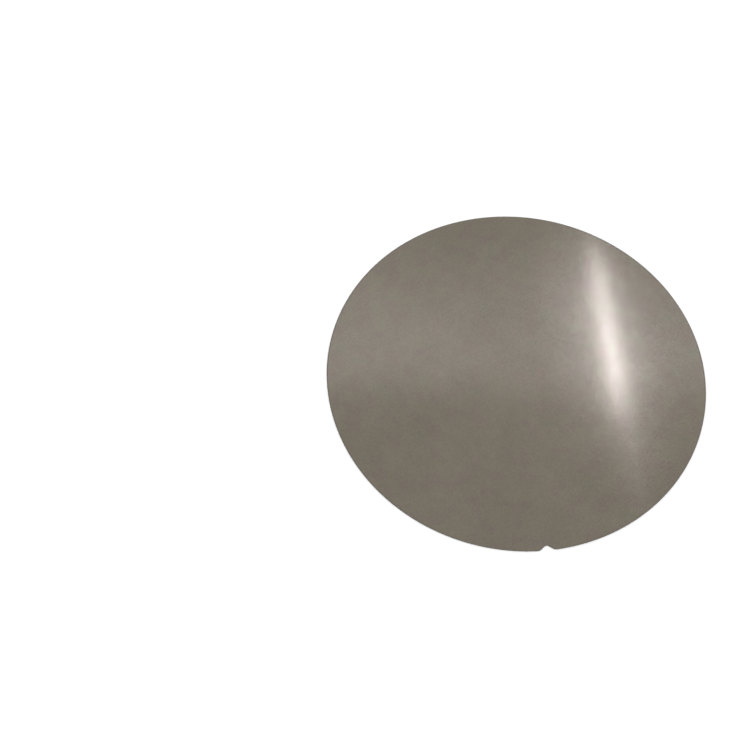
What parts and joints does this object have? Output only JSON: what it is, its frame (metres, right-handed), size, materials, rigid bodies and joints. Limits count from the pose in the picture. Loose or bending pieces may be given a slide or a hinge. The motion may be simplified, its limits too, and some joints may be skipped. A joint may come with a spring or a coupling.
{
  "type": "piezoelectric wafer",
  "caption": "Thin round piezoelectric wafer with flat satin faces, a bevelled ground rim and a V-shaped alignment notch.",
  "frame": {"origin": "centre of the wafer's back face, which it lies on", "axes": "+Z out of the front face, along the wafer's thickness; -Y from the centre to the alignment notch; +X to the right when looking down on the front face with the notch nearest"},
  "size_m": [0.2, 0.1999, 0.0007],
  "materials": {
    "wafer": "satin"
  },
  "bodies": {
    "root": {"wafer": "wafer"}
  },
  "joints": []
}
